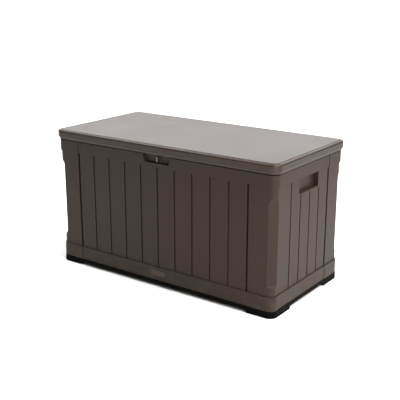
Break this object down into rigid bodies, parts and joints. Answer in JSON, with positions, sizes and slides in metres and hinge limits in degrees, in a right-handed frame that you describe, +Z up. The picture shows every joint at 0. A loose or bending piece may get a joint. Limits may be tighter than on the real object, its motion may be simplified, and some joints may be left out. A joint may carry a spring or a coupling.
{
  "type": "deck storage box",
  "caption": "Rectangular outdoor storage box with plank-pattern double walls, corner posts, raised base on feet and a hinged flat lid.",
  "frame": {"origin": "on the floor under the middle of the closed box", "axes": "+X along the long side to the right seen from the front, +Y to the rear where the hinges are, +Z up; the front faces -Y"},
  "size_m": [1.276, 0.643, 0.689],
  "materials": {
    "wall_resin": "fine grained, dark warm brown",
    "lid_resin": "satin, dark warm brown",
    "base_resin": "satin, near black",
    "badge_resin": "satin",
    "rubber": "matte",
    "steel": "zinc plated"
  },
  "bodies": {
    "box": {"base_tray": "base_resin", "foot_front_left": "base_resin", "foot_front_right": "base_resin", "foot_rear_left": "base_resin", "foot_rear_right": "base_resin", "front_panel": "wall_resin", "back_panel": "wall_resin", "left_side_panel": "wall_resin", "right_side_panel": "wall_resin", "post_front_left": "wall_resin", "post_front_right": "wall_resin", "post_rear_left": "wall_resin", "post_rear_right": "wall_resin", "lock_staple": "wall_resin", "staple_screws": "steel", "badge": "badge_resin", "lid_bumpers": "rubber", "hinge_body_left": "wall_resin", "hinge_body_middle": "wall_resin", "hinge_body_right": "wall_resin", "hinge_body_screws": "steel", "hinge_pins": "steel"},
    "lid": {"lid_shell": "lid_resin", "lid_liner": "lid_resin", "hinge_lid_left": "wall_resin", "hinge_lid_middle": "wall_resin", "hinge_lid_right": "wall_resin", "hinge_lid_screws": "steel", "lock_hasp": "wall_resin", "hasp_screws": "steel"}
  },
  "joints": [
    {"name": "lid_hinge", "type": "hinge", "parent": "box", "child": "lid", "pos_m": [0, 0.319, 0.637], "axis": [-1, 0, 0], "range_deg": [0, 95]}
  ]
}
